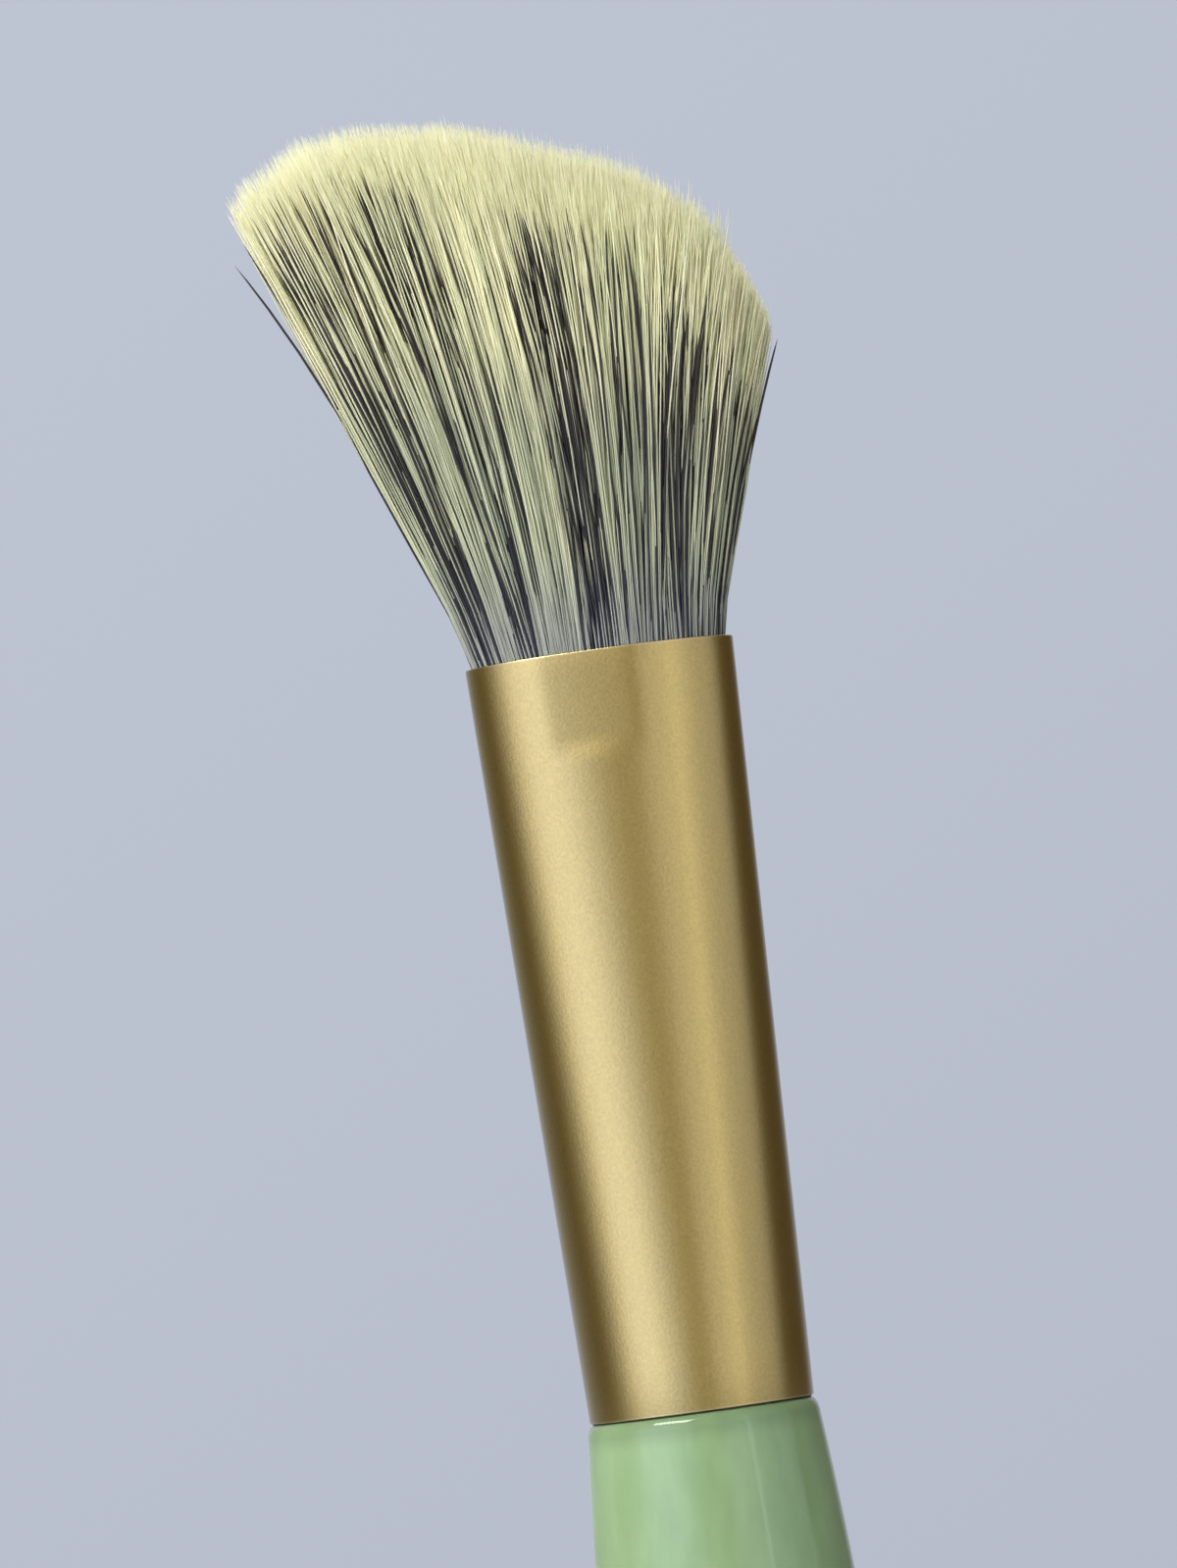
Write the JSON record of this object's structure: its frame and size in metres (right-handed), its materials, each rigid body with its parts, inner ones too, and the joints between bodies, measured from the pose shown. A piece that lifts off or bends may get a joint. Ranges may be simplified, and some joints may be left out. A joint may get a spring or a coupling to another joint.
{
  "type": "angled blush brush",
  "caption": "Angled blush brush: slanted fan of pale and dark filaments in a round-to-oval metal ferrule on a glossy turned handle.",
  "frame": {"origin": "centre of the flat on the handle's butt", "axes": "+Z along the brush from the butt to the filament tips, +X towards the short side of the slanted head, -Y towards the broad face that the picture shows"},
  "size_m": [0.0275, 0.015, 0.1755],
  "materials": {
    "jade_acrylic": "polished, slightly translucent jade green",
    "gold_anodised": "satin gold anodised, fine grained",
    "amber_glue": "cured amber glue",
    "clear_epoxy": "cured clear epoxy",
    "waxed_thread": "waxed thread",
    "pale_filament": "synthetic filament, grey-green at the root and pale yellow at the tip",
    "dark_filament": "black synthetic filament"
  },
  "bodies": {
    "root": {"handle": "jade_acrylic", "tenon_adhesive": "amber_glue", "ferrule": "gold_anodised", "root_epoxy": "clear_epoxy", "binding_thread": "waxed_thread", "pale_filaments": "pale_filament", "dark_filaments": "dark_filament"}
  },
  "joints": []
}
